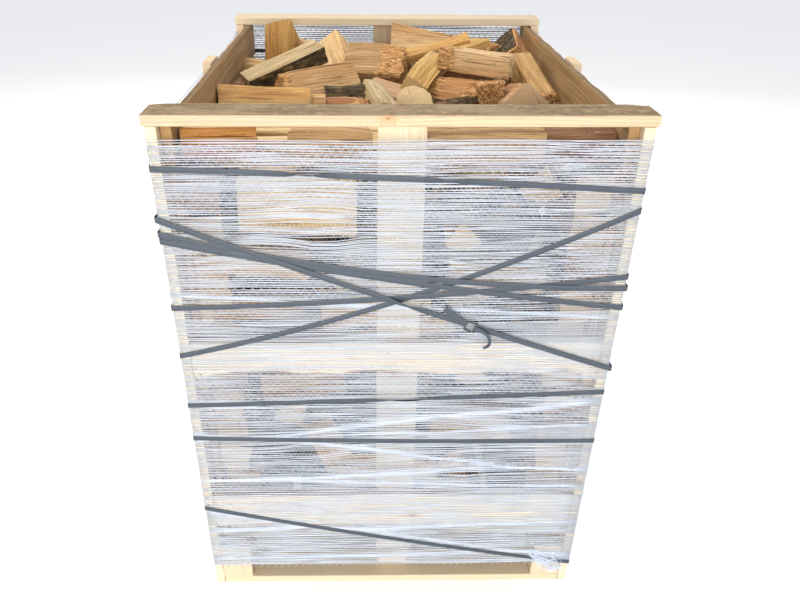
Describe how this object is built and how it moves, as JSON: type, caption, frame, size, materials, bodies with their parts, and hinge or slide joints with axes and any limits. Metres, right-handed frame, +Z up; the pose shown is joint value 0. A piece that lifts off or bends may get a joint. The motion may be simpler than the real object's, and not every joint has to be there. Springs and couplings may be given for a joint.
{
  "type": "palletised firewood bundle",
  "caption": "Slatted wooden pallet crate heaped with split firewood, wrapped in white net and tied round with dark straps. Stands on its pallet feet.",
  "frame": {"origin": "on the ground at the middle of the crate's footprint", "axes": "+X to the right across the front, +Y from the front to the back, +Z up"},
  "size_m": [1.0066, 1.2273, 1.349],
  "materials": {
    "sawn_pine": "sawn pale softwood, knots and saw marks",
    "weathered_pine": "sawn softwood with a grey-brown weathered top face",
    "split_wood": "split and sawn firewood, fibrous faces, dark bark",
    "net": "knitted white net, open strands",
    "strap": "woven slate-grey strapping",
    "buckle_steel": "bent steel wire"
  },
  "bodies": {
    "root": {"rail_front": "weathered_pine", "upright_front": "sawn_pine", "front_board_middle": "sawn_pine", "front_board_bottom": "sawn_pine", "rail_back": "weathered_pine", "upright_back": "sawn_pine", "back_board_middle": "sawn_pine", "back_board_bottom": "sawn_pine", "post_left_front": "sawn_pine", "post_left_middle": "sawn_pine", "post_left_back": "sawn_pine", "left_board_top": "sawn_pine", "left_board_middle": "sawn_pine", "left_board_bottom": "sawn_pine", "post_right_front": "sawn_pine", "post_right_middle": "sawn_pine", "post_right_back": "sawn_pine", "right_board_top": "sawn_pine", "right_board_middle": "sawn_pine", "right_board_bottom": "sawn_pine", "foot_board_front": "sawn_pine", "block_front_left": "sawn_pine", "block_front_centre": "sawn_pine", "block_front_right": "sawn_pine", "stringer_front": "sawn_pine", "foot_board_middle": "sawn_pine", "block_middle_left": "sawn_pine", "block_middle_centre": "sawn_pine", "block_middle_right": "sawn_pine", "stringer_middle": "sawn_pine", "foot_board_back": "sawn_pine", "block_back_left": "sawn_pine", "block_back_centre": "sawn_pine", "block_back_right": "sawn_pine", "stringer_back": "sawn_pine", "deck_board_1": "sawn_pine", "deck_board_2": "sawn_pine", "deck_board_3": "sawn_pine", "deck_board_4": "sawn_pine", "deck_board_5": "sawn_pine", "net_wrap": "net", "strap_top": "strap", "strap_diagonal_down": "strap", "strap_double_upper": "strap", "strap_double_lower": "strap", "strap_cross_low": "strap", "strap_diagonal_up": "strap", "strap_upper_middle": "strap", "strap_lower_middle": "strap", "strap_bottom": "strap", "buckle": "buckle_steel", "log_front_left": "split_wood", "log_bark_diagonal": "split_wood", "log_upright": "split_wood", "log_big_split": "split_wood", "log_rotten_end": "split_wood", "log_triangle": "split_wood", "log_cream_block": "split_wood", "log_right_wall": "split_wood", "firewood_heap": "split_wood"}
  },
  "joints": []
}
